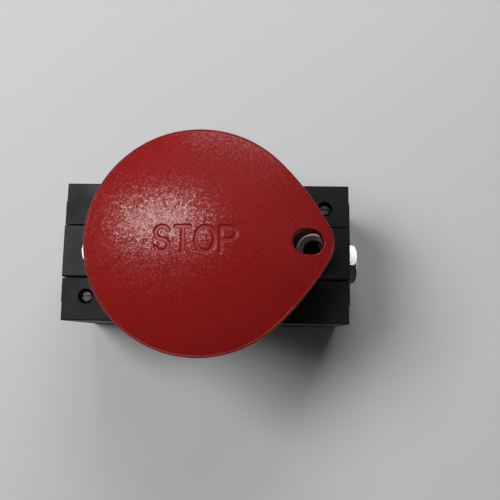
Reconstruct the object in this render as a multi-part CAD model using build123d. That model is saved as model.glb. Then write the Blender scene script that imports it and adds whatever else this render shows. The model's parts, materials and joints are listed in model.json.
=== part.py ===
from build123d import *
from math import cos, radians, sin, sqrt
import os

# Lockable emergency stop switch for mounting on a machine.
# A red palm plate on a hinged lever arm presses a plunger in a black moulded housing,
# and the plunger pulls two normally closed contact bridges off their fixed contacts.
# The plate stays down until its tip is pulled up, and a padlock through the plate's slot
# and the steel post below it keeps it down.
#
# Frame: millimetres, +Z up, origin at the middle of the mounting face.
# +X points to the plate's tip and the cable gland, +Y to the north terminal cover.

os.makedirs("parts", exist_ok=True)

# Housing
body_length = 84.6
body_width = 41.0
cover_top_z = 37.0
spine_width = 15.3
spine_rise = 0.5
floor_height = 4.5
corner_radius = 0.6
edge_round = 0.35
cover_wall = 2.2
seam_gap = 0.35
end_panel_width = 30.0
end_panel_rise = 0.3
spine_roof = 5.5

# Clearances
running_fit = 0.05
screw_fit = 0.05
seat_fit = 0.03
side_play = 0.3

# Steel bushes on the centre line
bush_inset = 11.3
bush_diameter = 9.6
bush_bore = 5.8
bush_thread_bore = 4.2
bush_thread_length = 14.0
bush_edge = 0.5
bush_relief = 0.8
bush_flange_radius = 5.8
bush_flange_height = 0.4
post_rise = 7.0
post_window_width = 5.0
post_window_height = 5.2
post_crown = 1.6

# Terminal cover fixing
screw_inset_x = 7.3
screw_inset_y = 7.1
cover_bore = 4.4
cover_bore_depth = 4.5
cover_boss_radius = 3.5
screw_post_height = 9.5
tongue_depth = 2.0
tongue_width = 6.0
tongue_thickness = 1.4
tongue_play = 0.1

# Cover screws: shank and head radii
cover_shank = 1.0
cover_shank_play = 0.2
cover_head = 1.4
cover_head_height = 3.0
cover_screw_length = 23.0
screw_slot_width = 0.6
screw_slot_depth = 0.6
hole_run_out = 0.5

# Bottom plate with its seal
plate_recess_width = 24.0
plate_recess_gap = 1.2
bottom_plate_thickness = 2.0
bottom_plate_setback = 0.4
bottom_plate_corner = 1.8
bottom_seal_thickness = 0.5
bottom_seal_band = 2.4
bottom_screw_inset = 2.6
bottom_screw_reach = 1.1
screw_end_gap = 0.2
bottom_shank = 1.25
bottom_shank_play = 0.15
bottom_head_radius = 2.1
bottom_head_height = 1.2

# Cable gland
gland_axis_z = 12.5
gland_flats = 12.5
gland_turn = 8.4
gland_thread_radius = 4.85
gland_wall = 2.6
gland_pocket_length = 3.0
gland_flange_length = 1.5
gland_nut_length = 3.7
gland_nut_dome = 2.2
gland_nut_rim = 1.2
gland_seat_wall = 1.0
gland_thread_setback = 0.8
gland_nut_roof = 1.4
gland_locknut_length = 2.0
cable_bore = 5.2

# Plunger, its guide and its latch clip
plunger_x = 4.0
plunger_radius = 3.0
plunger_lead = 0.5
plunger_travel = 3.0
plunger_foot_z = 8.6
plunger_rise = 6.7
cap_radius = 4.4
cap_height = 1.9
cap_lean = 0.3
cap_flat = 2.2
guide_radius = 4.5
guide_flange_radius = 6.0
guide_flange_height = 1.2
guide_depth = 10.5
wiper_height = 1.8
wiper_radius = 5.4
wiper_play = 0.1
wiper_edge = 0.7
wiper_lip = 0.8
clip_depth = 7.5
clip_wire = 0.5
clip_groove_depth = 0.5
clip_groove_play = 0.2
clip_slot_play = 0.1
clip_leg_gap = 0.05
clip_length = 13.0

# Mechanism chamber in the spine
chamber_length = 16.0
chamber_width = 10.8

# Crossbar and contacts
crossbar_width = 7.0
crossbar_foot_z = 11.5
crossbar_height = 7.5
crossbar_end = 1.0
crossbar_web = 1.4
crossbar_clip_thickness = 0.6
crossbar_clip_over = 0.6
moulded_corner = 0.8
bridge_width = 4.6
bridge_thickness = 0.8
bridge_play = 0.4
contact_setback = 10.4
contact_tip_radius = 1.6
contact_tip_height = 0.6
contact_gap = 0.1
strip_thickness = 1.0
strip_width = 5.0
strip_under_tip = 1.8
strip_past_screw = 5.2
strip_z = 18.0
pedestal_inset = 22.3
pedestal_half = 5.5
terminal_shank = 1.6
terminal_head = 3.0
terminal_head_height = 2.2
terminal_screw_length = 8.0
clamp_length = 7.0
clamp_thickness = 1.2
clamp_play = 0.1
clamp_lip = 0.4

# Springs
return_mean = 4.1
return_wire = 0.45
return_turns = 4
contact_spring_mean = 1.5
contact_spring_wire = 0.25
contact_spring_turns = 2
spring_gap = 0.12
spigot_radius = 2.6
spigot_height = 1.3

# Hinge
hinge_from_bush = 9.0
hinge_rise = 7.0
hinge_pin_radius = 2.0
hinge_pin_over = 1.5
ear_radius = 3.9
ear_thickness = 2.1
hinge_clip_thickness = 0.6
hinge_clip_radius = 3.4
hinge_pin_chamfer = 0.3
hinge_groove_depth = 0.4

# Lever arm
arm_flange_radius = 15.5
arm_flange_x = 2.0
arm_flange_thickness = 2.4
arm_nose_radius = 4.0
nose_gap = 0.15
arm_pocket_wall = 1.8
arm_web_thickness = 2.8
arm_corner = 1.5
arm_flange_front = 9.0
arm_flange_back = 8.0
arm_flange_bite = 0.5
arm_steps_from_hinge = [(-3.0, 2.6), (1.0, -3.6), (6.0, -2.2)]
arm_steps_from_nose = [(-6.0, -2.4), (-3.4, -1.0), (3.6, -1.0)]
plate_screw_circle = 12.0
plate_screw_shank = 1.4
plate_screw_play = 0.15
plate_screw_head = 2.5
plate_screw_head_height = 1.7
plate_screw_length = 5.4

# Stop plate
plate_radius = 30.05
plate_tip_radius = 8.6
plate_tip_setback = 1.65
plate_flank_radius = 80.0
plate_dome_rise = 5.0
plate_rim_rise = 17.0
plate_skirt = 4.5
plate_wall = 2.2
plate_edge = 0.5
plate_slot_setback = 2.45
plate_slot_length = 8.4
plate_slot_width = 6.7
plate_collar = 1.7
plate_rib = 1.6
plate_rib_setback = 1.0
plate_rib_turn = 40
rib_ring_gap = 1.3
rib_ring_width = 1.6
rib_overlap = 0.4
plate_boss = 3.1

# Worked out from the sizes above
spine_top_z = cover_top_z + spine_rise
guide_foot_z = spine_top_z - guide_depth
clip_z = spine_top_z - clip_depth
plunger_top_z = spine_top_z + plunger_rise
hinge_z = spine_top_z + hinge_rise
plate_rim_z = spine_top_z + plate_rim_rise
half_length = body_length / 2
half_width = body_width / 2
half_spine = spine_width / 2
bush_x = half_length - bush_inset
screw_x = half_length - screw_inset_x
screw_y = half_width - screw_inset_y
plate_recess_length = 2 * (bush_x - bush_diameter / 2 - plate_recess_gap)
contact_y = (half_spine + half_width - cover_wall) / 2
crossbar_reach = contact_y + bridge_width / 2 + side_play + crossbar_end
pedestal_offset = half_length - pedestal_inset
contact_offset = pedestal_offset - contact_setback
bridge_half_length = contact_offset + contact_tip_radius
strip_inner = contact_offset - strip_under_tip
strip_outer = pedestal_offset + strip_past_screw
hinge_x = hinge_from_bush - bush_x
plate_slot_x = bush_x - plate_slot_setback
plate_tip_x = plate_slot_x - plate_tip_setback
arm_flange_top_z = plate_rim_z + arm_flange_thickness + 0.1
arm_flange_foot_z = arm_flange_top_z - arm_flange_thickness
cap_top_z = plunger_top_z + cap_height
bottom_seat_z = bottom_plate_setback + bottom_plate_thickness
bridge_top_z = strip_z - 2 * contact_tip_height - contact_gap
cover_screw_foot_z = cover_top_z - cover_bore_depth - cover_screw_length


def tall(shape, low, high):
    """Solid of a flat outline between two heights."""
    return Pos(0, 0, low) * extrude(shape, high - low)


def block(x0, x1, y0, y1, z0, z1):
    """Box between two corners."""
    return Pos((x0 + x1) / 2, (y0 + y1) / 2, (z0 + z1) / 2) * Box(x1 - x0, y1 - y0, z1 - z0)


def upright(x, y, radius, low, high):
    """Vertical round bar."""
    return Pos(x, y, low) * extrude(Circle(radius), high - low)


def cross_bar(x, z, radius, half):
    """Round bar along Y."""
    return Pos(x, half, z) * Rot(90, 0, 0) * extrude(Circle(radius), 2 * half)


def lengthwise(z, radius, x0, x1):
    """Round bar along X on the centre plane."""
    return Pos(x0, 0, z) * Rot(0, 90, 0) * extrude(Circle(radius), x1 - x0)


def hex_prism(z, flats, turn, x0, x1):
    """Hexagonal bar along X, turned from having a corner at the top towards the south."""
    outline = RegularPolygon(flats / sqrt(3), 6, rotation=turn)
    return Pos(x0, 0, z) * Rot(0, 90, 0) * extrude(outline, x1 - x0)


def coil(x, y, low, high, mean, wire, turns):
    """Compression spring standing on end."""
    height = high - low - 2 * wire
    path = Helix(height / turns, height, mean)
    section = (Plane(origin=path @ 0, z_dir=path % 0)) * Circle(wire)
    return Pos(x, y, low + wire) * sweep(section, path=path, is_frenet=True)


def turned(x, y, points):
    """Solid of revolution about an upright axis, from radius and height pairs."""
    profile = Plane.XZ * make_face(Polyline(*points, close=True))
    return Pos(x, y, 0) * revolve(profile, Axis.Z)


def half_turned(part):
    """The same piece turned half round about the upright axis."""
    return Rot(0, 0, 180) * part


def save(part, name):
    """Write one sub-part to its own file."""
    solids = part.solids()
    whole = solids[0] if len(solids) == 1 else Compound(children=solids)
    whole.label = name
    export_step(whole, "parts/" + name + ".step")


def slotted_screw(x, y, seat_z, shank, length, head, head_height):
    """Cheese head screw standing on its seat, with a driver slot."""
    screw = upright(x, y, shank, seat_z - length, seat_z + head_height / 2)
    screw += upright(x, y, head, seat_z, seat_z + head_height)
    top = seat_z + head_height
    return screw - block(x - head, x + head, y - screw_slot_width / 2, y + screw_slot_width / 2,
                         top - screw_slot_depth, top + 1)


# Housing

def housing_outline():
    return RectangleRounded(body_length, body_width, corner_radius)


def base_housing():
    body = tall(housing_outline(), 0, floor_height)
    spine = block(-half_length, half_length, -half_spine, half_spine, 0, spine_top_z)
    top_edges = spine.edges().group_by(Axis.Z)[-1]
    body += fillet(top_edges, edge_round)

    # terminal pedestals and cover screw posts on the floor
    pedestal_reach = half_width - cover_wall - side_play
    for side in (-1, 1):
        for end in (-1, 1):
            middle = plunger_x + end * pedestal_offset
            y_in, y_out = sorted((side * (half_spine - 1), side * pedestal_reach))
            body += block(middle - pedestal_half, middle + pedestal_half, y_in, y_out,
                          floor_height - 1, strip_z)
    post_top = floor_height + screw_post_height
    for side in (-1, 1):
        body += upright(side * screw_x, side * screw_y, cover_boss_radius,
                        floor_height - 1, post_top)

    # hinge ears
    for side in (-1, 1):
        y_in, y_out = sorted((side * (half_spine - ear_thickness), side * half_spine))
        ear = block(hinge_x - ear_radius, hinge_x + ear_radius, y_in, y_out,
                    spine_top_z - 1, hinge_z)
        ear += Pos(hinge_x, y_out, hinge_z) * Rot(90, 0, 0) * extrude(
            Circle(ear_radius), ear_thickness)
        body += ear
    body -= cross_bar(hinge_x, hinge_z, hinge_pin_radius + seat_fit, body_width)

    # chamber for the plunger and crossbar, open at the bottom
    chamber_top = spine_top_z - spine_roof
    body -= block(plunger_x - chamber_length / 2, plunger_x + chamber_length / 2,
                  -chamber_width / 2, chamber_width / 2, -1, chamber_top)
    body -= upright(plunger_x, 0, guide_radius + seat_fit, chamber_top - 1, spine_top_z + 1)

    # windows that the crossbar reaches through
    window_half = crossbar_width / 2 + side_play
    body -= block(plunger_x - window_half, plunger_x + window_half, -half_spine - 1,
                  half_spine + 1, crossbar_foot_z - plunger_travel - side_play,
                  crossbar_foot_z + crossbar_height + side_play)

    # seats of the two bushes
    for side in (-1, 1):
        body -= upright(side * bush_x, 0, bush_diameter / 2 + seat_fit, -1, spine_top_z + 1)

    # recess for the bottom plate and its seal
    recess = RectangleRounded(plate_recess_length, plate_recess_width, 2)
    body -= tall(recess, -1, bottom_seat_z + bottom_seal_thickness)
    for x, y in bottom_screw_places():
        body -= upright(x, y, bottom_shank + screw_fit, -1,
                        bottom_seat_z + bottom_seal_thickness + bottom_screw_reach)

    # cable entry with a pocket that opens to both terminal chambers
    pocket_end = half_length - gland_wall
    body -= block(pocket_end - gland_pocket_length, pocket_end, -half_spine - 1,
                  half_spine + 1, floor_height,
                  gland_axis_z + gland_flats / sqrt(3) + side_play)
    body -= lengthwise(gland_axis_z, gland_thread_radius + screw_fit, pocket_end - 1,
                       half_length + 1)

    # threaded holes of the covers and the terminals, and the slots for the cover tongues
    for side in (-1, 1):
        body -= upright(side * screw_x, side * screw_y, cover_shank + screw_fit,
                        cover_screw_foot_z - hole_run_out, post_top + 1)
        body -= tongue(side, seat_fit + tongue_play)
        for end in (-1, 1):
            body -= upright(plunger_x + end * pedestal_offset, side * contact_y,
                            terminal_shank + screw_fit,
                            strip_z + strip_thickness + clamp_thickness
                            - terminal_screw_length - hole_run_out, strip_z + 1)
    return body


def tongue(side, play):
    """Locating tongue of a cover at the end away from its screw; a side of 1 is the north cover."""
    x_out = half_length - cover_wall + play
    x_in = half_length - cover_wall - tongue_thickness - play
    x0, x1 = sorted((-side * x_in, -side * x_out))
    half = tongue_width / 2 + play
    return block(x0, x1, side * screw_y - half, side * screw_y + half,
                 floor_height - tongue_depth - play, floor_height + 3)


def terminal_cover_north():
    inner_y = half_spine + seam_gap
    outline = tall(housing_outline(), floor_height, cover_top_z)
    cover = outline & block(-body_length, body_length, inner_y, body_width, 0, cover_top_z)
    rounded = cover.edges().group_by(Axis.Z)[-1].filter_by(
        lambda edge: edge.center().Y > inner_y + 0.01)
    cover = fillet(rounded, edge_round)
    hollow = block(-half_length + cover_wall, half_length - cover_wall, 0,
                   half_width - cover_wall, 0, cover_top_z - cover_wall)
    cover -= hollow

    # corners stand back from the end panels
    for end in (-1, 1):
        x0, x1 = sorted((end * (half_length - end_panel_rise), end * (half_length + 1)))
        cover -= block(x0, x1, end_panel_width / 2, body_width, 0, cover_top_z + 1)

    # screw boss, counterbore and tongue
    post_top = floor_height + screw_post_height
    cover += upright(screw_x, screw_y, cover_boss_radius, post_top, cover_top_z - 1)
    cover -= upright(screw_x, screw_y, cover_bore / 2, cover_top_z - cover_bore_depth,
                     cover_top_z + 1)
    cover -= upright(screw_x, screw_y, cover_shank + cover_shank_play, 0, cover_top_z)
    cover += tongue(1, 0)
    return cover


def cover_screws():
    screws = Part()
    for side in (-1, 1):
        screws += slotted_screw(side * screw_x, side * screw_y,
                                cover_top_z - cover_bore_depth, cover_shank,
                                cover_screw_length, cover_head, cover_head_height)
    return screws


def bottom_screw_places():
    x = plate_recess_length / 2 - side_play - bottom_screw_inset
    y = plate_recess_width / 2 - side_play - bottom_screw_inset
    return [(sx * x, sy * y) for sx in (-1, 1) for sy in (-1, 1)]


def bottom_plate():
    length = plate_recess_length - 2 * side_play
    width = plate_recess_width - 2 * side_play
    outline = RectangleRounded(length, width, bottom_plate_corner)
    plate = tall(outline, bottom_plate_setback, bottom_seat_z)
    plate += upright(plunger_x, 0, spigot_radius, bottom_plate_setback,
                     bottom_seat_z + spigot_height)
    for x, y in bottom_screw_places():
        plate -= upright(x, y, bottom_shank + bottom_shank_play, 0, bottom_seat_z + 1)
        plate -= turned(x, y, [(0, 0), (bottom_head_radius + screw_fit, 0),
                               (bottom_head_radius + screw_fit, bottom_plate_setback),
                               (bottom_shank, bottom_plate_setback + bottom_head_height),
                               (0, bottom_plate_setback + bottom_head_height)])
    return plate


def bottom_seal():
    length = plate_recess_length - 2 * side_play
    width = plate_recess_width - 2 * side_play
    band = 2 * bottom_seal_band
    outer = RectangleRounded(length, width, bottom_plate_corner)
    inner = RectangleRounded(length - 2 * band, width - band, 1)
    seal = tall(outer - inner, bottom_seat_z, bottom_seat_z + bottom_seal_thickness)
    for x, y in bottom_screw_places():
        seal -= upright(x, y, bottom_shank + bottom_shank_play, 0, bottom_seat_z + 1)
    return seal


def bottom_screws():
    screws = Part()
    top = bottom_seat_z + bottom_seal_thickness + bottom_screw_reach - screw_end_gap
    low = bottom_plate_setback
    for x, y in bottom_screw_places():
        screw = turned(x, y, [(0, low), (bottom_head_radius, low),
                              (bottom_shank, low + bottom_head_height - screw_fit),
                              (bottom_shank, top), (0, top)])
        screws += screw - block(x - bottom_head_radius, x + bottom_head_radius,
                                y - screw_slot_width / 2, y + screw_slot_width / 2,
                                low - 1, low + screw_slot_depth / 2)
    return screws


# Steel bushes

def bush(x, top):
    """Steel sleeve with a thread bore at its foot and a chamfered top."""
    outer = bush_diameter / 2
    return turned(x, 0, [(bush_thread_bore / 2, 0), (outer, 0), (outer, top - bush_edge),
                         (outer - bush_edge, top), (bush_bore / 2, top),
                         (bush_bore / 2, bush_thread_length + bush_relief),
                         (bush_thread_bore / 2, bush_thread_length)])


def mounting_bush():
    """Sleeve with a shallow flange on the spine."""
    top = spine_top_z + bush_flange_height
    sleeve = bush(-bush_x, top)
    flange = turned(-bush_x, 0, [(bush_bore / 2, spine_top_z),
                                 (bush_flange_radius, spine_top_z),
                                 (bush_flange_radius, top - bush_flange_height / 2),
                                 (bush_flange_radius - bush_flange_height / 2, top),
                                 (bush_bore / 2, top)])
    return sleeve + flange


def lock_post():
    """Taller sleeve whose side window lets a shackle's end out."""
    top = spine_top_z + post_rise
    window_top = top - post_crown
    post = bush(bush_x, top)
    return post - block(bush_x, bush_x + bush_diameter, -post_window_width / 2,
                        post_window_width / 2, window_top - post_window_height, window_top)


# Cable gland

def gland_body():
    wall_x = half_length
    inner_end = half_length - gland_wall - gland_pocket_length + side_play
    flange_end = wall_x + gland_flange_length
    thread_end = flange_end + gland_nut_length - gland_nut_roof - gland_thread_setback
    body = lengthwise(gland_axis_z, gland_thread_radius, inner_end, thread_end)
    body += hex_prism(gland_axis_z, gland_flats, gland_turn, wall_x, flange_end)
    seat = lengthwise(gland_axis_z, gland_thread_radius - gland_seat_wall, flange_end,
                      thread_end + 1)
    return body - seat - lengthwise(gland_axis_z, cable_bore / 2, inner_end - 1, thread_end + 1)


def gland_locknut():
    wall_in = half_length - gland_wall
    nut = hex_prism(gland_axis_z, gland_flats, 0, wall_in - gland_locknut_length, wall_in)
    return nut - lengthwise(gland_axis_z, gland_thread_radius + screw_fit,
                            wall_in - gland_locknut_length - 1, wall_in + 1)


def gland_seal():
    low = half_length + gland_flange_length
    high = low + gland_nut_length - gland_nut_roof
    radius = gland_thread_radius - gland_seat_wall - screw_fit
    return lengthwise(gland_axis_z, radius, low, high) - lengthwise(
        gland_axis_z, cable_bore / 2, low - 1, high + 1)


def gland_nut():
    low = half_length + gland_flange_length
    high = low + gland_nut_length
    nut = hex_prism(gland_axis_z, gland_flats, gland_turn, low, high)
    corner = gland_flats / sqrt(3)
    crown = cable_bore / 2 + gland_nut_rim
    start = high - gland_nut_dome
    with_dome = Plane.XY * make_face(
        Polyline((low, 0), (low, corner), (start, corner))
        + Bezier((start, corner), (high, corner), (high, (corner + crown) / 2), (high, crown))
        + Polyline((high, crown), (high, 0), (low, 0)))
    nut = nut & (Pos(0, 0, gland_axis_z) * revolve(with_dome, Axis.X))
    nut -= lengthwise(gland_axis_z, gland_thread_radius + screw_fit, low - 1,
                      high - gland_nut_roof)
    return nut - lengthwise(gland_axis_z, cable_bore / 2, low - 1, high + 1)


# Plunger, guide and latch

def plunger():
    profile = [(0, plunger_foot_z), (plunger_radius - plunger_lead, plunger_foot_z),
               (plunger_radius, plunger_foot_z + plunger_lead), (plunger_radius, plunger_top_z),
               (0, plunger_top_z)]
    body = turned(plunger_x, 0, profile)
    groove_half = clip_wire + clip_groove_play
    for z in (clip_z, clip_z + plunger_travel):
        ring = upright(plunger_x, 0, plunger_radius + 1, z - groove_half, z + groove_half)
        body -= ring - upright(plunger_x, 0, plunger_radius - clip_groove_depth,
                               z - groove_half, z + groove_half)
    z = crossbar_foot_z - crossbar_clip_thickness / 2
    ring = upright(plunger_x, 0, plunger_radius + 1, z - crossbar_clip_thickness / 2,
                   z + crossbar_clip_thickness / 2)
    return body - (ring - upright(plunger_x, 0, plunger_radius - clip_groove_depth,
                                  z - crossbar_clip_thickness / 2,
                                  z + crossbar_clip_thickness / 2))


def ring_clip(thickness, outer, inner, opening):
    """Flat retaining ring with one open side, lying on the floor plane."""
    ring = extrude(Circle(outer) - Circle(inner), thickness)
    return ring - block(0, outer + 1, -opening / 2, opening / 2, -1, thickness + 1)


def crossbar_clip():
    groove = plunger_radius - clip_groove_depth
    clip = ring_clip(crossbar_clip_thickness, plunger_radius + crossbar_clip_over,
                     groove + seat_fit, groove)
    return Pos(plunger_x, 0, crossbar_foot_z - crossbar_clip_thickness) * clip


def plunger_cap():
    top = cap_top_z
    low = plunger_top_z
    edge = low + cap_height / 2
    cap = Plane.XZ * make_face(
        Polyline((0, low), (cap_radius, low), (cap_radius, edge))
        + Bezier((cap_radius, edge), (cap_radius - cap_lean, top), (cap_flat, top), (0, top))
        + Line((0, top), (0, low)))
    return Pos(plunger_x, 0, 0) * revolve(cap, Axis.Z)


def guide_bush():
    inner = plunger_radius + running_fit
    flange_top = spine_top_z + guide_flange_height
    bush_part = turned(plunger_x, 0, [(inner, guide_foot_z), (guide_radius, guide_foot_z),
                                      (guide_radius, spine_top_z),
                                      (guide_flange_radius, spine_top_z),
                                      (guide_flange_radius, flange_top), (inner, flange_top)])
    gap = clip_wire + clip_slot_play
    for side in (-1, 1):
        y0, y1 = sorted((side * plunger_radius, side * (guide_radius + 1)))
        bush_part -= block(plunger_x - guide_radius - 1, plunger_x + guide_radius + 1, y0, y1,
                           clip_z - gap, clip_z + gap)
    return bush_part


def wiper_seal():
    inner = plunger_radius + wiper_play
    low = spine_top_z + guide_flange_height
    return turned(plunger_x, 0, [(inner, low), (wiper_radius, low),
                                 (wiper_radius, low + wiper_edge),
                                 (inner + wiper_lip, low + wiper_height),
                                 (inner, low + wiper_height)])


def latch_clip():
    """Hairpin of spring wire whose legs lie beside the plunger in the guide's slots."""
    leg_y = plunger_radius + running_fit + clip_wire + clip_leg_gap
    start = plunger_x - clip_length / 2 + leg_y
    end = plunger_x + clip_length / 2
    path = Line((end, leg_y), (start, leg_y))
    path += ThreePointArc((start, leg_y), (start - leg_y, 0), (start, -leg_y))
    path += Line((start, -leg_y), (end, -leg_y))
    wire = Wire(path.edges())
    section = Plane(origin=(end, leg_y, 0), z_dir=(1, 0, 0)) * Circle(clip_wire)
    return Pos(0, 0, clip_z) * sweep(section, path=wire)


# Crossbar and contacts

def crossbar():
    top = crossbar_foot_z + crossbar_height
    half = crossbar_width / 2
    bar = block(plunger_x - half, plunger_x + half, -crossbar_reach, crossbar_reach,
                crossbar_foot_z, top)
    bar = fillet(bar.edges().filter_by(Axis.Z), moulded_corner)
    bar += upright(plunger_x, 0, chamber_width / 2 - side_play, crossbar_foot_z, top)
    bar -= upright(plunger_x, 0, plunger_radius + seat_fit, 0, top + 1)
    for side in (-1, 1):
        y0 = side * contact_y - bridge_width / 2 - side_play
        y1 = side * contact_y + bridge_width / 2 + side_play
        bar -= block(plunger_x - half - 1, plunger_x + half + 1, y0, y1,
                     crossbar_foot_z + crossbar_web, bridge_top_z + bridge_play)
    return bar


def contact_bridge(side):
    top = bridge_top_z
    bridge = block(plunger_x - bridge_half_length, plunger_x + bridge_half_length,
                   side * contact_y - bridge_width / 2, side * contact_y + bridge_width / 2,
                   top - bridge_thickness, top)
    bridge = fillet(bridge.edges().filter_by(Axis.Z), 1)
    return bridge


def tips(low, high):
    """Round contact tips at both ends of both bridges."""
    rivets = Part()
    for side in (-1, 1):
        for end in (-1, 1):
            rivets += upright(plunger_x + end * contact_offset, side * contact_y,
                              contact_tip_radius, low, high)
    return rivets


def contact_springs():
    springs = Part()
    low = crossbar_foot_z + crossbar_web
    high = bridge_top_z - bridge_thickness
    for side in (-1, 1):
        springs += coil(plunger_x, side * contact_y, low + spring_gap, high - spring_gap,
                        contact_spring_mean, contact_spring_wire, contact_spring_turns)
    return springs


def return_spring():
    return coil(plunger_x, 0, bottom_seat_z + spring_gap, crossbar_foot_z - spring_gap,
                return_mean, return_wire, return_turns)


def fixed_contacts(side):
    strips = Part()
    for end in (-1, 1):
        x0, x1 = sorted((plunger_x + end * strip_inner, plunger_x + end * strip_outer))
        strip = block(x0, x1, side * contact_y - strip_width / 2,
                      side * contact_y + strip_width / 2, strip_z, strip_z + strip_thickness)
        strip = fillet(strip.edges().filter_by(Axis.Z), 1)
        strips += strip - upright(plunger_x + end * pedestal_offset, side * contact_y,
                                  terminal_shank + screw_fit, strip_z - 1, strip_z + 2)
    return strips


def terminal_clamps():
    clamps = Part()
    low = strip_z + strip_thickness
    half = clamp_length / 2
    for side in (-1, 1):
        for end in (-1, 1):
            x = plunger_x + end * pedestal_offset
            y = side * contact_y
            clamp = block(x - half, x + half, y - half, y + half, low, low + clamp_thickness)
            clamp = fillet(clamp.edges().filter_by(Axis.Z), moulded_corner)
            for lip in (-1, 1):
                y0, y1 = sorted((y + lip * (strip_width / 2 + clamp_play),
                                 y + lip * half))
                clamp += block(x - half + 1, x + half - 1, y0, y1, low - clamp_lip,
                               low + clamp_thickness)
            clamps += clamp - upright(x, y, terminal_shank + screw_fit, low - 1, low + 3)
    return clamps


def terminal_screws():
    screws = Part()
    seat = strip_z + strip_thickness + clamp_thickness
    for side in (-1, 1):
        for end in (-1, 1):
            screws += slotted_screw(plunger_x + end * pedestal_offset, side * contact_y, seat,
                                    terminal_shank, terminal_screw_length, terminal_head,
                                    terminal_head_height)
    return screws


# Hinge

def hinge_pin():
    half = half_spine + hinge_pin_over
    pin = cross_bar(hinge_x, hinge_z, hinge_pin_radius, half)
    pin = chamfer(pin.edges(), hinge_pin_chamfer)
    groove = hinge_pin_radius - hinge_groove_depth
    for side in (-1, 1):
        y0 = side * half_spine if side > 0 else -half_spine - hinge_clip_thickness
        ring = Circle(hinge_pin_radius + 1) - Circle(groove)
        pin -= Pos(hinge_x, y0 + hinge_clip_thickness, hinge_z) * Rot(90, 0, 0) * extrude(
            ring, hinge_clip_thickness)
    return pin


def hinge_clips():
    clips = Part()
    groove = hinge_pin_radius - hinge_groove_depth
    for side in (-1, 1):
        clip = ring_clip(hinge_clip_thickness, hinge_clip_radius, groove + seat_fit,
                         2 * groove)
        y0 = half_spine + hinge_clip_thickness if side > 0 else -half_spine
        clips += Pos(hinge_x, y0, hinge_z) * Rot(90, 0, 0) * clip
    return clips


# Lever arm

def lever_arm():
    half = half_spine - ear_thickness - side_play
    foot = arm_flange_foot_z
    nose_z = cap_top_z + nose_gap + arm_nose_radius
    from_hinge = [(hinge_x + x, hinge_z + z) for x, z in arm_steps_from_hinge]
    from_nose = [(plunger_x + x, nose_z + z) for x, z in arm_steps_from_nose]
    under_flange = [(plunger_x + arm_flange_front, foot + arm_flange_bite),
                    (hinge_x + arm_flange_back, foot + arm_flange_bite)]
    points = from_hinge + from_nose + under_flange
    side_view = make_face(Polyline(*points, close=True))
    side_view = fillet(side_view.vertices().filter_by(
        lambda v: v.X > hinge_x + ear_radius and v.Y < foot), arm_corner)
    arm = Pos(0, half, 0) * extrude(Plane.XZ * side_view, 2 * half)
    inner = offset(side_view, -arm_pocket_wall)
    for side in (-1, 1):
        y0 = half + 1 if side > 0 else -arm_web_thickness / 2
        depth = half + 1 - arm_web_thickness / 2
        arm -= Pos(0, y0, 0) * extrude(Plane.XZ * inner, depth)
    arm += cross_bar(hinge_x, hinge_z, ear_radius, half)
    arm += cross_bar(plunger_x, nose_z, arm_nose_radius, half - 1)
    arm += upright(arm_flange_x, 0, arm_flange_radius, foot, arm_flange_top_z)
    arm -= cross_bar(hinge_x, hinge_z, hinge_pin_radius + running_fit, body_width)
    for x, y in plate_screw_places():
        arm -= upright(x, y, plate_screw_shank + plate_screw_play, foot - 1, arm_flange_top_z + 1)
    return arm


def plate_screw_places():
    places = []
    for turn in range(45, 360, 90):
        x = arm_flange_x + plate_screw_circle * cos(radians(turn))
        places.append((x, plate_screw_circle * sin(radians(turn))))
    return places


def plate_screws():
    screws = Part()
    foot = arm_flange_foot_z
    for x, y in plate_screw_places():
        screw = upright(x, y, plate_screw_shank, foot - plate_screw_head_height / 2,
                        foot + plate_screw_length)
        screw += upright(x, y, plate_screw_head, foot - plate_screw_head_height, foot)
        low = foot - plate_screw_head_height
        screws += screw - block(x - plate_screw_head, x + plate_screw_head,
                                y - screw_slot_width / 2, y + screw_slot_width / 2,
                                low - 1, low + screw_slot_depth)
    return screws


# Stop plate

def teardrop(inset):
    """Outline of the plate: a large circle drawn to a small one at the tip by two flat arcs."""
    big = plate_radius - inset
    small = plate_tip_radius - inset
    to_big = plate_flank_radius - plate_radius
    to_small = plate_flank_radius - plate_tip_radius
    x = (to_big ** 2 - to_small ** 2 + plate_tip_x ** 2) / (2 * plate_tip_x)
    y = -sqrt(to_big ** 2 - x ** 2)
    near = Vector(-x, -y).normalized() * big
    far = Vector(plate_tip_x, 0) + Vector(plate_tip_x - x, -y).normalized() * small
    half_way = Vector(x, y) + ((near + far) / 2 - Vector(x, y)).normalized() * (
        plate_flank_radius - inset)
    outline = ThreePointArc(near, (-big, 0), (near.X, -near.Y))
    outline += ThreePointArc((near.X, -near.Y), (half_way.X, -half_way.Y), (far.X, -far.Y))
    outline += ThreePointArc((far.X, -far.Y), (plate_tip_x + small, 0), far)
    outline += ThreePointArc(far, half_way, near)
    return make_face(outline)


def dome_ball(shrink):
    radius = (plate_radius ** 2 + plate_dome_rise ** 2) / (2 * plate_dome_rise)
    apex = plate_rim_z + plate_skirt + plate_dome_rise
    return Pos(0, 0, apex - radius) * Sphere(radius - shrink)


def padlock_slot(grow):
    return Pos(plate_slot_x, 0) * SlotOverall(plate_slot_length + 2 * grow,
                                              plate_slot_width + 2 * grow)


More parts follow.
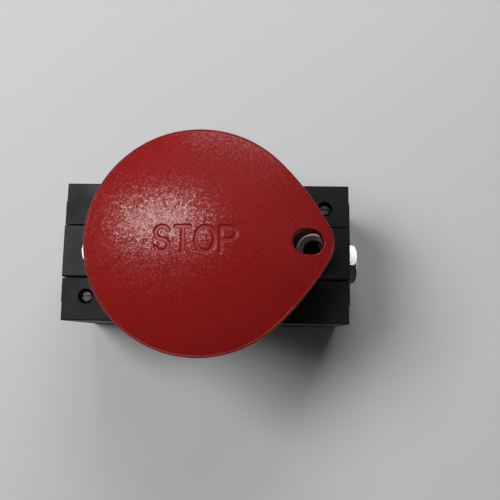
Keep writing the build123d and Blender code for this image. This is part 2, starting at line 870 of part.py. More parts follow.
def stop_plate():
    high = plate_rim_z + plate_skirt + 2 * plate_dome_rise
    full = tall(teardrop(0), plate_rim_z, high) & dome_ball(0)
    rim = full.edges().filter_by(lambda edge: edge.center().Z > plate_rim_z + 0.5)
    full = fillet(rim.filter_by(lambda edge: edge.length > 3), plate_edge)
    inside = tall(teardrop(plate_wall), plate_rim_z, high) & dome_ball(plate_wall)
    shell = full - inside

    # ribs from the screw bosses to the skirt
    ribs = Part()
    rib_low = plate_rim_z + plate_rib_setback
    ring_inner = arm_flange_radius + rib_ring_gap
    ring_outer = ring_inner + rib_ring_width
    for turn in range(plate_rib_turn, 360, plate_rib_turn):
        rib = block(ring_outer - rib_overlap, plate_radius - rib_overlap, -plate_rib / 2,
                    plate_rib / 2, rib_low, high)
        ribs += Rot(0, 0, turn) * rib
    for x, y in plate_screw_places():
        ribs += upright(x, y, plate_boss, arm_flange_top_z, high)
    for turn in (0, 90):
        ribs += Pos(arm_flange_x, 0, 0) * Rot(0, 0, 45 + turn) * block(
            -plate_screw_circle, plate_screw_circle, -plate_rib / 2, plate_rib / 2,
            arm_flange_top_z + 1, high)
    ring = Circle(ring_outer) - Circle(ring_inner)
    ribs += Pos(arm_flange_x, 0) * tall(ring, rib_low, high)
    shell += ribs & inside

    # collar round the padlock slot
    shell += tall(padlock_slot(plate_collar), plate_rim_z, high) & inside
    shell -= tall(padlock_slot(0), plate_rim_z - 1, high)
    for x, y in plate_screw_places():
        shell -= upright(x, y, plate_screw_shank + screw_fit, arm_flange_top_z - 1,
                         arm_flange_foot_z + plate_screw_length + screw_end_gap)
    return shell


def main():
    save(base_housing(), "base_housing")
    save(terminal_cover_north(), "terminal_cover_north")
    save(half_turned(terminal_cover_north()), "terminal_cover_south")
    save(cover_screws(), "cover_screws")
    save(bottom_plate(), "bottom_plate")
    save(bottom_seal(), "bottom_seal")
    save(bottom_screws(), "bottom_screws")
    save(mounting_bush(), "mounting_bush")
    save(lock_post(), "lock_post")
    save(gland_body(), "gland_body")
    save(gland_locknut(), "gland_locknut")
    save(gland_seal(), "gland_seal")
    save(gland_nut(), "gland_nut")
    save(guide_bush(), "guide_bush")
    save(wiper_seal(), "wiper_seal")
    save(latch_clip(), "latch_clip")
    save(fixed_contacts(1), "fixed_contacts_north")
    save(fixed_contacts(-1), "fixed_contacts_south")
    save(tips(strip_z - contact_tip_height, strip_z), "fixed_contact_tips")
    save(terminal_clamps(), "terminal_clamps")
    save(terminal_screws(), "terminal_screws")
    save(hinge_pin(), "hinge_pin")
    save(hinge_clips(), "hinge_clips")
    save(return_spring(), "return_spring")
    save(lever_arm(), "lever_arm")
    save(stop_plate(), "stop_plate")
    save(plate_screws(), "plate_screws")
    save(plunger(), "plunger")
    save(plunger_cap(), "plunger_cap")
    save(crossbar(), "crossbar")
    save(crossbar_clip(), "crossbar_clip")
    save(contact_bridge(1), "contact_bridge_north")
    save(contact_bridge(-1), "contact_bridge_south")
    save(tips(bridge_top_z, bridge_top_z + contact_tip_height), "bridge_contact_tips")
    save(contact_springs(), "contact_springs")


main()
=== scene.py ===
import json
import math

import bpy
import numpy as np
from mathutils import Euler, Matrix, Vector

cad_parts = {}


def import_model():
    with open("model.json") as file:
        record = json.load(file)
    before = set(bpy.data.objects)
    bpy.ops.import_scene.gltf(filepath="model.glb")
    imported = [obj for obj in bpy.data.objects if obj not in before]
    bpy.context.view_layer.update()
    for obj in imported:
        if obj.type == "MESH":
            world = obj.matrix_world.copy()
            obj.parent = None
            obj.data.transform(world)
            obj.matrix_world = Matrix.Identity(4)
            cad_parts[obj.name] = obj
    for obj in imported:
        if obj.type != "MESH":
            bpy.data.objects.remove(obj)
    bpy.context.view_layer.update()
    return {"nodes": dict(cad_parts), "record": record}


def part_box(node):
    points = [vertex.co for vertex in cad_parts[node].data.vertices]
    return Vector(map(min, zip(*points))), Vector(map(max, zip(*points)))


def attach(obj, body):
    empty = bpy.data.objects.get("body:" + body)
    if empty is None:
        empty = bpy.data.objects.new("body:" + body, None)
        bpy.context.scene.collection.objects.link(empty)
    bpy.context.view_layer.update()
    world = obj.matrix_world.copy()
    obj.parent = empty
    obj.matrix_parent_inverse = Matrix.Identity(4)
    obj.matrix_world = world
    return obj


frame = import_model()

MM = 0.001

# Camera, from the photograph's fit: place in millimetres, turns in degrees
CAMERA_PLACE = (17.03, -25.29, 217.91)
CAMERA_TURN = (8.243, 1.274, 0.754)
CAMERA_FOCAL_PIXELS = 620.6
PICTURE_PIXELS = 500
SENSOR = 36.0

# Plate, the sizes that its box doesn't give, in millimetres
DOME_RISE = 5.0
TIP_RADIUS = 8.6
FLANK_RADIUS = 80.0
EDGE_ROUND = 0.5
SLOT_X = 28.55
SLOT_LENGTH = 8.4
SLOT_WIDTH = 6.7
SLOT_LIP = 0.3

# Skin over the plate: how far it stands off the CAD plate, and how deep it goes
FACE_LIFT = 0.34
FACE_MARGIN = 0.04
FACE_DEPTH = 1.0
FOOT_LIFT = 0.02

# Skin's mesh: spokes, rings inside and outside the share of the radius that holds the word
SPOKES = 480
WORD_ZONE = 0.42
WORD_RINGS = 78
OUTER_RINGS = 52
RIM_STEPS = 8
LIP_STEPS = 6

# Function word pressed into the plate, in millimetres
WORD_HALF_HEIGHT = 3.2
WORD_Y = -0.37
STROKE_HALF = 0.48
STROKE_DEPTH = 0.2
STROKE_WALL = 0.12
STROKE_HALO = 0.25
STROKE_FADE = 0.2

# Red skin: its colours, and the grain and pits of a spark-eroded mould
RED_DEEP = (0.243, 0.0086, 0.0082)
RED_FRESH = (0.263, 0.01, 0.0096)
# Lighter red on the rounded edges: partly wear, partly a painted highlight along the rim and
# slot lip
RED_WEAR_AND_RIM_HIGHLIGHT = (0.36, 0.1, 0.095)
GRAIN_PER_METRE = 2300
GRAIN_DEPTH = 0.03
PITS_PER_METRE = 2400
PIT_LEAN = 0.14
WORD_ROUGHNESS = 0.36

# Black housing: its colours, and the heights between which the spine turns glossy
BLACK_DEEP = (0.0078, 0.0072, 0.0092)
BLACK_FADED = (0.01, 0.0095, 0.0116)
BLACK_WORN = (0.05, 0.05, 0.052)
DUST = (0.08, 0.08, 0.08)
GLOSSY_FROM = 37.1
GLOSSY_TO = 37.4

# Metals: lighter and darker colour, least and most roughness, stretch of the tool marks,
# softness of the edges in millimetres
METALS = {
    "zinc_steel": ((0.68, 0.68, 0.7), (0.42, 0.42, 0.43), 0.25, 0.45, (1.0, 1.0, 0.2), 0.12),
    "dark_steel": ((0.08, 0.08, 0.085), (0.04, 0.04, 0.04), 0.35, 0.5, (1.0, 1.0, 1.0), 0.12),
    "bush_steel": ((0.5, 0.46, 0.45), (0.34, 0.31, 0.3), 0.3, 0.46, (1.0, 1.0, 4.0), 0.12),
    "nickel": ((0.93, 0.93, 0.89), (0.84, 0.83, 0.79), 0.1, 0.2, (3.0, 1.0, 1.0), 0.2),
    "brass": ((0.75, 0.56, 0.27), (0.5, 0.36, 0.17), 0.2, 0.4, (1.0, 1.0, 4.0), 0.12),
    "contact_brass": ((0.78, 0.6, 0.32), (0.55, 0.4, 0.2), 0.25, 0.45, (0.2, 1.0, 1.0), 0.12),
    "contact_silver": ((0.9, 0.89, 0.87), (0.7, 0.69, 0.67), 0.15, 0.3, (1.0, 1.0, 1.0), 0.12),
    "spring_steel": ((0.6, 0.6, 0.61), (0.38, 0.37, 0.37), 0.2, 0.35, (1.0, 0.2, 1.0), 0.12),
}

# Plain rubber and plastic: two colours and the middle roughness
PLAIN_MOULDINGS = {
    "rubber_black": ((0.012, 0.012, 0.012), (0.03, 0.03, 0.03), 0.7),
    "pale_moulding": ((0.62, 0.58, 0.5), (0.5, 0.46, 0.39), 0.45),
}
ROUGHNESS_SPREAD = 0.08

# Stage, in metres
FLOOR_HALF = 0.8
CARD_HALF = (0.6, 0.28)
LAMPS_AIM = (0.0, 0.0, 0.05)
DAYLIGHT = (0.96, 0.98, 1.0, 1)


# Node helpers

def new_material(name):
    material = bpy.data.materials.new(name)
    material.use_nodes = True
    tree = material.node_tree
    tree.nodes.clear()
    output = tree.nodes.new("ShaderNodeOutputMaterial")
    shader = tree.nodes.new("ShaderNodeBsdfPrincipled")
    tree.links.new(shader.outputs["BSDF"], output.inputs["Surface"])
    return material, tree, shader


def place_of(tree):
    return tree.nodes.new("ShaderNodeTexCoord").outputs["Object"]


def height_of(tree, place):
    node = tree.nodes.new("ShaderNodeSeparateXYZ")
    tree.links.new(place, node.inputs["Vector"])
    return node.outputs["Z"]


def attribute(tree, name):
    node = tree.nodes.new("ShaderNodeAttribute")
    node.attribute_name = name
    return node.outputs["Fac"]


def noise(tree, place, scale, detail=3.0, roughness=0.5, stretch=None):
    node = tree.nodes.new("ShaderNodeTexNoise")
    node.inputs["Scale"].default_value = scale
    node.inputs["Detail"].default_value = detail
    node.inputs["Roughness"].default_value = roughness
    if stretch is not None:
        mapping = tree.nodes.new("ShaderNodeMapping")
        mapping.inputs["Scale"].default_value = stretch
        tree.links.new(place, mapping.inputs["Vector"])
        place = mapping.outputs["Vector"]
    tree.links.new(place, node.inputs["Vector"])
    return node.outputs["Fac"]


def ramp(tree, value, low, high, low_out=0.0, high_out=1.0):
    node = tree.nodes.new("ShaderNodeMapRange")
    node.clamp = True
    node.inputs["From Min"].default_value = low
    node.inputs["From Max"].default_value = high
    node.inputs["To Min"].default_value = low_out
    node.inputs["To Max"].default_value = high_out
    tree.links.new(value, node.inputs["Value"])
    return node.outputs["Result"]


def feed(tree, socket, value):
    """Sets a socket to a number or a tuple, or links another node's output to it."""
    if isinstance(value, (int, float, tuple)):
        socket.default_value = value
    else:
        tree.links.new(value, socket)


def math_node(tree, operation, first, second):
    node = tree.nodes.new("ShaderNodeMath")
    node.operation = operation
    feed(tree, node.inputs[0], first)
    feed(tree, node.inputs[1], second)
    return node.outputs["Value"]


def vector_node(tree, operation, first, second=None):
    node = tree.nodes.new("ShaderNodeVectorMath")
    node.operation = operation
    feed(tree, node.inputs[0], first)
    if second is not None:
        feed(tree, node.inputs["Scale"] if operation == "SCALE" else node.inputs[1], second)
    return node.outputs["Value" if operation == "DOT_PRODUCT" else "Vector"]


def mixed(tree, share, first, second):
    """Colour between two, each a colour or a socket."""
    node = tree.nodes.new("ShaderNodeMix")
    node.data_type = "RGBA"
    tree.links.new(share, node.inputs["Factor"])
    for socket, value in ((node.inputs[6], first), (node.inputs[7], second)):
        feed(tree, socket, (*value, 1.0) if isinstance(value, tuple) else value)
    return node.outputs[2]


def bumped(tree, height, depth_mm, normal=None):
    node = tree.nodes.new("ShaderNodeBump")
    node.inputs["Strength"].default_value = 1.0
    node.inputs["Distance"].default_value = depth_mm * MM
    tree.links.new(height, node.inputs["Height"])
    if normal is not None:
        tree.links.new(normal, node.inputs["Normal"])
    return node.outputs["Normal"]


def pitted(tree, place, normal, strength):
    """Leans the normal at random from one tiny pit to the next."""
    node = tree.nodes.new("ShaderNodeTexVoronoi")
    node.feature = "SMOOTH_F1"
    node.inputs["Scale"].default_value = PITS_PER_METRE
    node.inputs["Smoothness"].default_value = 0.35
    tree.links.new(place, node.inputs["Vector"])
    lean = vector_node(tree, "SUBTRACT", node.outputs["Color"], (0.5, 0.5, 0.5))
    lean = vector_node(tree, "SCALE", lean, strength)
    return vector_node(tree, "NORMALIZE", vector_node(tree, "ADD", lean, normal))


def soft_edges(tree, radius_mm):
    node = tree.nodes.new("ShaderNodeBevel")
    node.samples = 6
    node.inputs["Radius"].default_value = radius_mm * MM
    return node.outputs["Normal"]


def edge_mask(tree, edge_normal):
    """1 on sharp edges, where the softened normal leaves the true one."""
    geometry = tree.nodes.new("ShaderNodeNewGeometry")
    along = vector_node(tree, "DOT_PRODUCT", edge_normal, geometry.outputs["Normal"])
    return ramp(tree, math_node(tree, "SUBTRACT", 1.0, along), 0.004, 0.12)


# Materials

def red_plate(name, with_word):
    """Red moulding with a spark-eroded skin; smooth where the word is pressed in."""
    material, tree, shader = new_material(name)
    place = place_of(tree)
    mottle = ramp(tree, noise(tree, place, 60, 4, 0.6), 0.35, 0.7)
    colour = mixed(tree, mottle, RED_DEEP, RED_FRESH)
    grain = noise(tree, place, GRAIN_PER_METRE, 1.0)
    lean = PIT_LEAN
    rough = ramp(tree, noise(tree, place, 1900, 2.5, 0.6), 0.38, 0.62, 0.18, 0.3)
    if with_word:
        word = attribute(tree, "word")
        keep = math_node(tree, "SUBTRACT", 1.0, word)
        grain = math_node(tree, "MULTIPLY", grain, keep)
        lean = math_node(tree, "MULTIPLY", keep, PIT_LEAN)
        in_word = math_node(tree, "MULTIPLY", word, WORD_ROUGHNESS)
        rough = math_node(tree, "MAXIMUM", rough, in_word)
        # Lighter red where the "edge" share is set: partly wear, partly a painted highlight
        # along the rim, foot and slot lip
        scuffs = ramp(tree, noise(tree, place, 420, 4, 0.7), 0.35, 0.65, 0.1, 0.6)
        worn = math_node(tree, "MULTIPLY", attribute(tree, "edge"), scuffs)
        colour = mixed(tree, worn, colour, RED_WEAR_AND_RIM_HIGHLIGHT)
    normal = pitted(tree, place, bumped(tree, grain, GRAIN_DEPTH), lean)
    tree.links.new(colour, shader.inputs["Base Color"])
    tree.links.new(rough, shader.inputs["Roughness"])
    tree.links.new(normal, shader.inputs["Normal"])
    shader.inputs["Specular IOR Level"].default_value = 0.32
    return material


def black_moulding():
    """Black glass-filled plastic, glossier on the raised spine, with dusty specks."""
    material, tree, shader = new_material("black_moulding")
    place = place_of(tree)
    normal = soft_edges(tree, 0.3)
    mottle = ramp(tree, noise(tree, place, 45, 5, 0.6, (0.45, 1.0, 1.0)), 0.3, 0.75)
    colour = mixed(tree, mottle, BLACK_DEEP, BLACK_FADED)
    specks = ramp(tree, noise(tree, place, 1400, 2), 0.71, 0.77, 0.0, 0.5)
    colour = mixed(tree, specks, colour, DUST)
    scuffs = ramp(tree, noise(tree, place, 350, 3), 0.4, 0.65, 0.0, 0.5)
    worn = math_node(tree, "MULTIPLY", edge_mask(tree, normal), scuffs)
    colour = mixed(tree, worn, colour, BLACK_WORN)
    glossy = ramp(tree, height_of(tree, place), GLOSSY_FROM * MM, GLOSSY_TO * MM)
    dull = math_node(tree, "SUBTRACT", 1.0, glossy)
    dull_rough = ramp(tree, noise(tree, place, 110, 4), 0.3, 0.7, 0.4, 0.55)
    glossy_rough = ramp(tree, noise(tree, place, 90, 4), 0.3, 0.7, 0.31, 0.5)
    rough = math_node(tree, "ADD", math_node(tree, "MULTIPLY", glossy, glossy_rough),
                      math_node(tree, "MULTIPLY", dull, dull_rough))
    skin = bumped(tree, noise(tree, place, 1900, 2), 0.012, normal)
    tree.links.new(colour, shader.inputs["Base Color"])
    tree.links.new(rough, shader.inputs["Roughness"])
    tree.links.new(skin, shader.inputs["Normal"])
    shader.inputs["Specular IOR Level"].default_value = 0.2
    return material


def metal(name, light, dark, rough_low, rough_high, stretch, edge_mm):
    """Turned, drawn or plated metal with fine tool marks and a little tarnish."""
    material, tree, shader = new_material(name)
    place = place_of(tree)
    normal = soft_edges(tree, edge_mm)
    tarnish = ramp(tree, noise(tree, place, 220, 4, 0.65), 0.35, 0.72)
    marks = noise(tree, place, 1200, 3, 0.5, stretch)
    rough = ramp(tree, marks, 0.3, 0.7, rough_low, rough_high)
    tree.links.new(mixed(tree, tarnish, light, dark), shader.inputs["Base Color"])
    tree.links.new(rough, shader.inputs["Roughness"])
    tree.links.new(bumped(tree, marks, 0.006, normal), shader.inputs["Normal"])
    shader.inputs["Metallic"].default_value = 1.0
    return material


def plain_moulding(name, light, dark, rough):
    """Natural plastic or rubber with a soft mottle."""
    material, tree, shader = new_material(name)
    place = place_of(tree)
    normal = soft_edges(tree, 0.15)
    mottle = ramp(tree, noise(tree, place, 260, 4, 0.6), 0.3, 0.7)
    grain = noise(tree, place, 2400, 2)
    uneven = ramp(tree, grain, 0.3, 0.7, rough - ROUGHNESS_SPREAD, rough + ROUGHNESS_SPREAD)
    tree.links.new(mixed(tree, mottle, light, dark), shader.inputs["Base Color"])
    tree.links.new(uneven, shader.inputs["Roughness"])
    tree.links.new(bumped(tree, grain, 0.012, normal), shader.inputs["Normal"])
    return material


def dress_nodes():
    """Gives every CAD node the material of its slot."""
    looks = {
        "black_moulding": black_moulding(),
        "red_moulding": red_plate("red_underside", False),
    }
    for name, look in METALS.items():
        looks[name] = metal(name, *look)
    for name, look in PLAIN_MOULDINGS.items():
        looks[name] = plain_moulding(name, *look)
    for row in frame["record"]["subparts"]:
        node = frame["nodes"][row["node"]]
        node.data.materials.clear()
        node.data.materials.append(looks[row["material_slot"]])


# Plate's form, in millimetres

def plate_sizes():
    """Large radius, the tip circle's place and the plate's lowest and highest points."""
    low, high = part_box("stop_plate")
    return -low.x / MM, high.x / MM - TIP_RADIUS, low.z / MM, high.z / MM


RADIUS, TIP_X, RIM_Z, APEX_Z = plate_sizes()
BALL = (RADIUS ** 2 + DOME_RISE ** 2) / (2 * DOME_RISE)
FOOT_Z = RIM_Z + FOOT_LIFT


def flank_centre():
    """Centre of the flat arc that joins the plate's circle to its tip."""
    to_big = FLANK_RADIUS - RADIUS
    to_small = FLANK_RADIUS - TIP_RADIUS
    x = (to_big ** 2 - to_small ** 2 + TIP_X ** 2) / (2 * TIP_X)
    return x, -math.sqrt(to_big ** 2 - x ** 2)


def reach(turn, inset):
    """Distance from the middle to the teardrop outline, drawn in by an inset."""
    around = np.abs((turn + np.pi) % (2 * np.pi) - np.pi)
    x, y = flank_centre()
    flank_from = math.atan2(-y, -x)
    small = TIP_RADIUS - inset
    share = small / (FLANK_RADIUS - TIP_RADIUS)
    flank_to = np.arctan2(-y * share, TIP_X + (TIP_X - x) * share)
    circle = RADIUS - inset + 0 * around
    beside = x * np.sin(around) - y * np.cos(around)
    arc = x * np.cos(around) + y * np.sin(around) + np.sqrt(
        (FLANK_RADIUS - inset) ** 2 - beside ** 2)
    across = np.clip(small ** 2 - (TIP_X * np.sin(around)) ** 2, 0, None)
    cap = TIP_X * np.cos(around) + np.sqrt(across)
    return np.where(around > flank_from, circle, np.where(around > flank_to, arc, cap))


def dome(x, y):
    """Height of the skin's crown."""
    return APEX_Z + FACE_LIFT - BALL + np.sqrt(BALL ** 2 - x ** 2 - y ** 2)


def slot_distance(x, y):
    """Distance outside the slot's edge, and the direction away from it."""
    half = (SLOT_LENGTH - SLOT_WIDTH) / 2
    dx = (x - SLOT_X) - np.clip(x - SLOT_X, -half, half)
    length = np.hypot(dx, y)
    safe = np.maximum(length, 1e-6)
    return length - SLOT_WIDTH / 2, dx / safe, y / safe


# Function word: strokes as lists of points, around x and the plate's middle line

def arc_points(cx, cy, rx, ry, start, end, count):
    turns = np.radians(np.linspace(start, end, count))
    return [(cx + rx * math.cos(t), cy + ry * math.sin(t)) for t in turns]


def letter_s(x, width, h):
    rx = width / 2
    ry = h / 2
    upper = arc_points(x, ry, rx, ry, 20, 270, 16)
    lower = arc_points(x, -ry, rx, ry, 90, -160, 16)
    return [upper + lower]


def letter_t(x, width, h):
    return [[(x - width / 2, h), (x + width / 2, h)], [(x, h), (x, -h)]]


def letter_o(x, width, h):
    return [arc_points(x, 0, width / 2, h, 0, 360, 33)]


def letter_p(x, width, h):
    left = x - width / 2
    ry = h / 2
    bowl = arc_points(x + width * 0.12, h - ry, width * 0.38, ry, 90, -90, 13)
    return [[(left, -h), (left, h)] + bowl + [(left, h - 2 * ry)]]


def word_strokes():
    h = WORD_HALF_HEIGHT
    return (letter_s(-8.75, 3.3, h) + letter_t(-3.45, 3.6, h) + letter_o(2.25, 4.75, h)
            + letter_p(8.0, 3.8, h))


def word_distance(x, y):
    """Distance to the nearest stroke's centre line."""
    y = y - WORD_Y
    nearest = np.full(x.shape, 1e3)
    for stroke in word_strokes():
        for (x0, y0), (x1, y1) in zip(stroke, stroke[1:]):
            dx, dy = x1 - x0, y1 - y0
            squared = max(dx * dx + dy * dy, 1e-9)
            along = np.clip(((x - x0) * dx + (y - y0) * dy) / squared, 0, 1)
            nearest = np.minimum(nearest, np.hypot(x - x0 - along * dx, y - y0 - along * dy))
    return nearest


def smooth(value):
    value = np.clip(value, 0, 1)
    return value * value * (3 - 2 * value)


# Plate's skin

class Skin:
    """Points and faces, with the share of word and of edge at each point; the edge share marks
    wear along the rim and a painted highlight there.
    """

    def __init__(self):
        self.points = []
        self.faces = []
        self.word = []
        self.edge = []

    def add_points(self, xs, ys, zs, word=0.0, edge=0.0):
        first = len(self.points)
        self.points.extend(zip(xs, ys, np.broadcast_to(zs, xs.shape)))
        self.word.extend(np.broadcast_to(word, xs.shape))
        self.edge.extend(np.broadcast_to(edge, xs.shape))
        return list(range(first, first + len(xs)))

    def bridge(self, first, second):
        """Quads between two closed loops of equal length."""
        count = len(first)
        for i in range(count):
            j = (i + 1) % count
            self.faces.append((first[i], first[j], second[j], second[i]))

    def grow(self, loop, xs, ys, zs, edge=0.0):
        """Adds the next loop of points and bridges to it."""
        following = self.add_points(xs, ys, zs, edge=edge)
        self.bridge(loop, following)
        return following

    def mesh(self, name):
        made = bpy.data.meshes.new(name)
        made.from_pydata([tuple(c * MM for c in p) for p in self.points], [], self.faces)
        for label, values in (("word", self.word), ("edge", self.edge)):
            layer = made.attributes.new(label, "FLOAT", "POINT")
            layer.data.foreach_set("value", np.array(values, np.float32))
        made.validate()
        made.update()
        made.shade_smooth()
        return made


def crown_grid(turn, edge):
    """Points in rings round the middle, and the quads that the slot leaves between them."""
    shares = np.concatenate([np.linspace(0, WORD_ZONE, WORD_RINGS + 1)[1:],
                             np.linspace(WORD_ZONE, 1, OUTER_RINGS + 1)[1:]])
    x = np.concatenate([[0.0], np.outer(shares, edge * np.cos(turn)).ravel()])
    y = np.concatenate([[0.0], np.outer(shares, edge * np.sin(turn)).ravel()])
    inside = slot_distance(x, y)[0] < SLOT_LIP
    quads = [(0, 1 + i, 1 + (i + 1) % SPOKES) for i in range(SPOKES)]
    for ring in range(1, len(x) - SPOKES, SPOKES):
        following = ring + SPOKES
        for i in range(SPOKES):
            j = (i + 1) % SPOKES
            quad = (ring + i, following + i, following + j, ring + j)
            if not all(inside[v] for v in quad):
                quads.append(quad)
    return x, y, quads


def add_crown(skin, turn, edge):
    """The crown with the word in it, and its underside.

    Gives the crown's faces, its outermost loop and the step from a point to the one below it.
    """
    x, y, quads = crown_grid(turn, edge)
    used = np.zeros(len(x), bool)
    for quad in quads:
        used[list(quad)] = True
    away, nx, ny = slot_distance(x, y)
    snap = (away < SLOT_LIP) & used
    x = np.where(snap, x + (SLOT_LIP - away) * nx, x)[used]
    y = np.where(snap, y + (SLOT_LIP - away) * ny, y)[used]
    distance = word_distance(x, y)
    pressed = smooth((STROKE_HALF + STROKE_WALL - distance) / (2 * STROKE_WALL))
    word = smooth((STROKE_HALF + STROKE_HALO - distance) / STROKE_FADE)
    skin.add_points(x, y, dome(x, y) - STROKE_DEPTH * pressed, word=word)
    skin.add_points(x, y, dome(x, y) - FACE_DEPTH - FACE_LIFT)

    renumber = np.cumsum(used) - 1
    crown = [tuple(int(renumber[v]) for v in quad) for quad in quads]
    below = len(x)
    skin.faces += crown
    skin.faces += [tuple(v + below for v in reversed(quad)) for quad in crown]
    return crown, [int(v) for v in renumber[-SPOKES:]], below


def add_skirt(skin, turn, slope, edge, outer, below):
    """The rounded rim, the skirt and its foot, closed to the underside."""
    def ring(loop, radius, z, worn=0.0):
        return skin.grow(loop, radius * np.cos(turn), radius * np.sin(turn), z, worn)

    centre_z = dome(edge, 0 * edge) - EDGE_ROUND * np.cos(slope)
    loop = outer
    for step in range(1, RIM_STEPS + 1):
        share = step / RIM_STEPS
        lean = slope + (np.pi / 2 - slope) * share
        radius = reach(turn, EDGE_ROUND * (1 - np.sin(lean)) - FACE_MARGIN * share)
        # The edge share on the rounded rim stands for wear and a painted highlight along it
        loop = ring(loop, radius, centre_z + EDGE_ROUND * np.cos(lean),
                    0.5 * math.sin(math.pi * share))
    skirt = reach(turn, -FACE_MARGIN)
    for share in (0.5, 0.94):
        loop = ring(loop, skirt, centre_z + (FOOT_Z - centre_z) * share)
    # The edge shares at the foot stand for wear and a painted highlight along the skirt's lower
    # edge
    loop = ring(loop, reach(turn, 0.05), FOOT_Z + 0.06, 0.3)
    loop = ring(loop, reach(turn, 0.2), FOOT_Z, 0.1)
    loop = ring(loop, edge, FOOT_Z)
    skin.bridge(loop, [v + below for v in outer])


def add_slot_wall(skin, loop, below):
    """The slot's rounded lip and its wall, closed to the underside."""
    x, y, _ = np.array([skin.points[v] for v in loop]).T
    _, nx, ny = slot_distance(x, y)
    top = dome(x, y)

    def ring(last, inward, z, worn=0.0):
        return skin.grow(last, x - inward * nx, y - inward * ny, z, worn)

    last = loop
    for step in range(1, LIP_STEPS + 1):
        share = step / LIP_STEPS
        lean = math.pi / 2 * share
        # The edge share on the slot's lip stands for wear and a painted highlight along it
        last = ring(last, SLOT_LIP * math.sin(lean) + FACE_MARGIN * share,
                    top - SLOT_LIP * (1 - math.cos(lean)), 0.1 * math.sin(2 * lean))
    last = ring(last, SLOT_LIP + FACE_MARGIN, FOOT_Z)
    last = ring(last, 0.0, FOOT_Z)
    skin.bridge(last, [v + below for v in loop])


def slot_loop(faces, rim):
    """The open edges round the slot, in order and in the faces' own direction."""
    once = {}
    for face in faces:
        for i, a in enumerate(face):
            b = face[(i + 1) % len(face)]
            if (b, a) in once:
                del once[(b, a)]
            else:
                once[(a, b)] = True
    following = {a: b for a, b in once if a not in rim and b not in rim}
    start = next(iter(following))
    loop = [start]
    while following[loop[-1]] != start:
        loop.append(following[loop[-1]])
    return loop


def plate_face():
    """The plate's outer skin: crown with the word in it, rounded rim, skirt and slot lip."""
    turn = np.arange(SPOKES) * 2 * np.pi / SPOKES
    near_rim = reach(turn, EDGE_ROUND)
    slope = np.arctan(near_rim / np.sqrt(BALL ** 2 - near_rim ** 2))
    edge = reach(turn, EDGE_ROUND * (1 - np.sin(slope)))
    skin = Skin()
    crown, outer, below = add_crown(skin, turn, edge)
    add_skirt(skin, turn, slope, edge, outer, below)
    add_slot_wall(skin, slot_loop(crown, set(outer)), below)

    face = bpy.data.objects.new("stop_plate_face", skin.mesh("stop_plate_face"))
    bpy.context.scene.collection.objects.link(face)
    face.data.materials.append(red_plate("red_moulding", True))
    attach(face, "plate_lever")


# Stage

def sheet(name, half_width, half_height):
    """A flat rectangle round the origin, with its material's parts."""
    mesh = bpy.data.meshes.new(name)
    w, h = half_width, half_height
    mesh.from_pydata([(-w, -h, 0), (w, -h, 0), (w, h, 0), (-w, h, 0)], [], [(0, 1, 2, 3)])
    made = bpy.data.objects.new(name, mesh)
    bpy.context.scene.collection.objects.link(made)
    material, tree, shader = new_material(name)
    mesh.materials.append(material)
    return made, tree, shader


def floor():
    made, tree, shader = sheet("floor", FLOOR_HALF, FLOOR_HALF)
    tone = ramp(tree, noise(tree, place_of(tree), 3.0), 0.3, 0.7)
    tree.links.new(mixed(tree, tone, (0.6, 0.615, 0.63), (0.63, 0.64, 0.65)),
                   shader.inputs["Base Color"])
    shader.inputs["Roughness"].default_value = 0.6
    shader.inputs["Specular IOR Level"].default_value = 0.2


def aim(obj, direction, distance):
    """Puts an object off to one side of the plate, facing it."""
    place = Vector(LAMPS_AIM) + Vector(direction).normalized() * distance
    obj.location = place
    obj.rotation_euler = (Vector(LAMPS_AIM) - place).to_track_quat("-Z", "Y").to_euler()


def dark_card():
    """A dark board on the near side that only reflections see."""
    card, _, shader = sheet("dark_card", *CARD_HALF)
    shader.inputs["Base Color"].default_value = (0.02, 0.016, 0.016, 1)
    shader.inputs["Roughness"].default_value = 1.0
    card.visible_camera = False
    card.visible_diffuse = False
    card.visible_shadow = False
    card.visible_transmission = False
    aim(card, (0.15, -0.79, 0.6), 0.7)


def area_light(name, direction, distance, width, height, power, colour=(1, 1, 1)):
    lamp = bpy.data.lights.new(name, "AREA")
    lamp.shape = "RECTANGLE"
    lamp.size = width
    lamp.size_y = height
    lamp.energy = power
    lamp.color = colour
    obj = bpy.data.objects.new(name, lamp)
    bpy.context.scene.collection.objects.link(obj)
    aim(obj, direction, distance)
    return obj


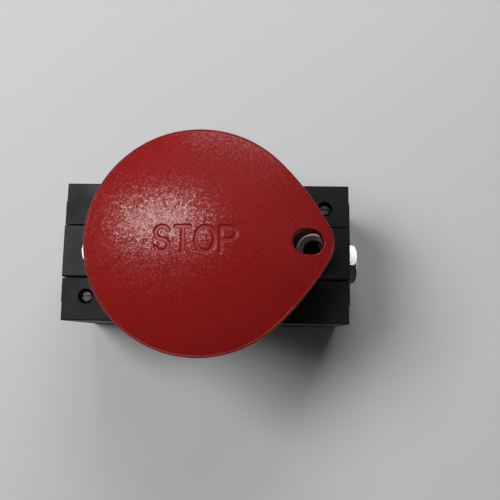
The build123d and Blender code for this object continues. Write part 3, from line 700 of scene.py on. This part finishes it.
def lamps():
    """A key lamp and the sky give the shading, the glint and the ceiling the reflections."""
    key = area_light("key", (-0.53, 0.2, 0.824), 0.9, 0.44, 0.4, 6.3, (1.0, 0.99, 0.975))
    key.visible_glossy = False
    glint = area_light("glint", (-0.36, 0.275, 0.891), 0.9, 0.45, 0.14, 4.0, (1.0, 0.98, 0.955))
    glint.rotation_euler.rotate_axis("Z", math.radians(-52))
    glint.visible_diffuse = False
    ceiling = area_light("ceiling", (0.4, 0.38, 0.834), 0.9, 0.7, 0.5, 0.18)
    ceiling.visible_diffuse = False
    area_light("north_window", (0.15, 0.91, 0.39), 0.8, 0.55, 0.35, 1.9)
    sky = area_light("north_sky", (0.1, 0.75, 0.65), 0.8, 0.5, 0.35, 1.6)
    sky.visible_glossy = False


def world():
    """Faint daylight all round, and a pale backdrop where the camera sees past the floor."""
    made = bpy.data.worlds.new("studio")
    bpy.context.scene.world = made
    made.use_nodes = True
    tree = made.node_tree
    tree.nodes.clear()
    output = tree.nodes.new("ShaderNodeOutputWorld")
    path = tree.nodes.new("ShaderNodeLightPath")
    mix = tree.nodes.new("ShaderNodeMixShader")
    tree.links.new(path.outputs["Is Camera Ray"], mix.inputs["Fac"])
    for socket, strength in ((mix.inputs[1], 0.05), (mix.inputs[2], 0.75)):
        light = tree.nodes.new("ShaderNodeBackground")
        light.inputs["Color"].default_value = DAYLIGHT
        light.inputs["Strength"].default_value = strength
        tree.links.new(light.outputs["Background"], socket)
    tree.links.new(mix.outputs["Shader"], output.inputs["Surface"])


def camera():
    data = bpy.data.cameras.new("camera")
    data.sensor_width = SENSOR
    data.lens = CAMERA_FOCAL_PIXELS / PICTURE_PIXELS * SENSOR
    data.clip_start = 0.01
    data.clip_end = 20
    obj = bpy.data.objects.new("camera", data)
    bpy.context.scene.collection.objects.link(obj)
    obj.location = Vector(CAMERA_PLACE) * MM
    obj.rotation_mode = "ZYX"
    obj.rotation_euler = Euler([math.radians(a) for a in CAMERA_TURN], "ZYX")
    bpy.context.scene.camera = obj


camera()
world()
floor()
dark_card()
lamps()
dress_nodes()
plate_face()

bpy.context.scene.view_settings.view_transform = "Standard"
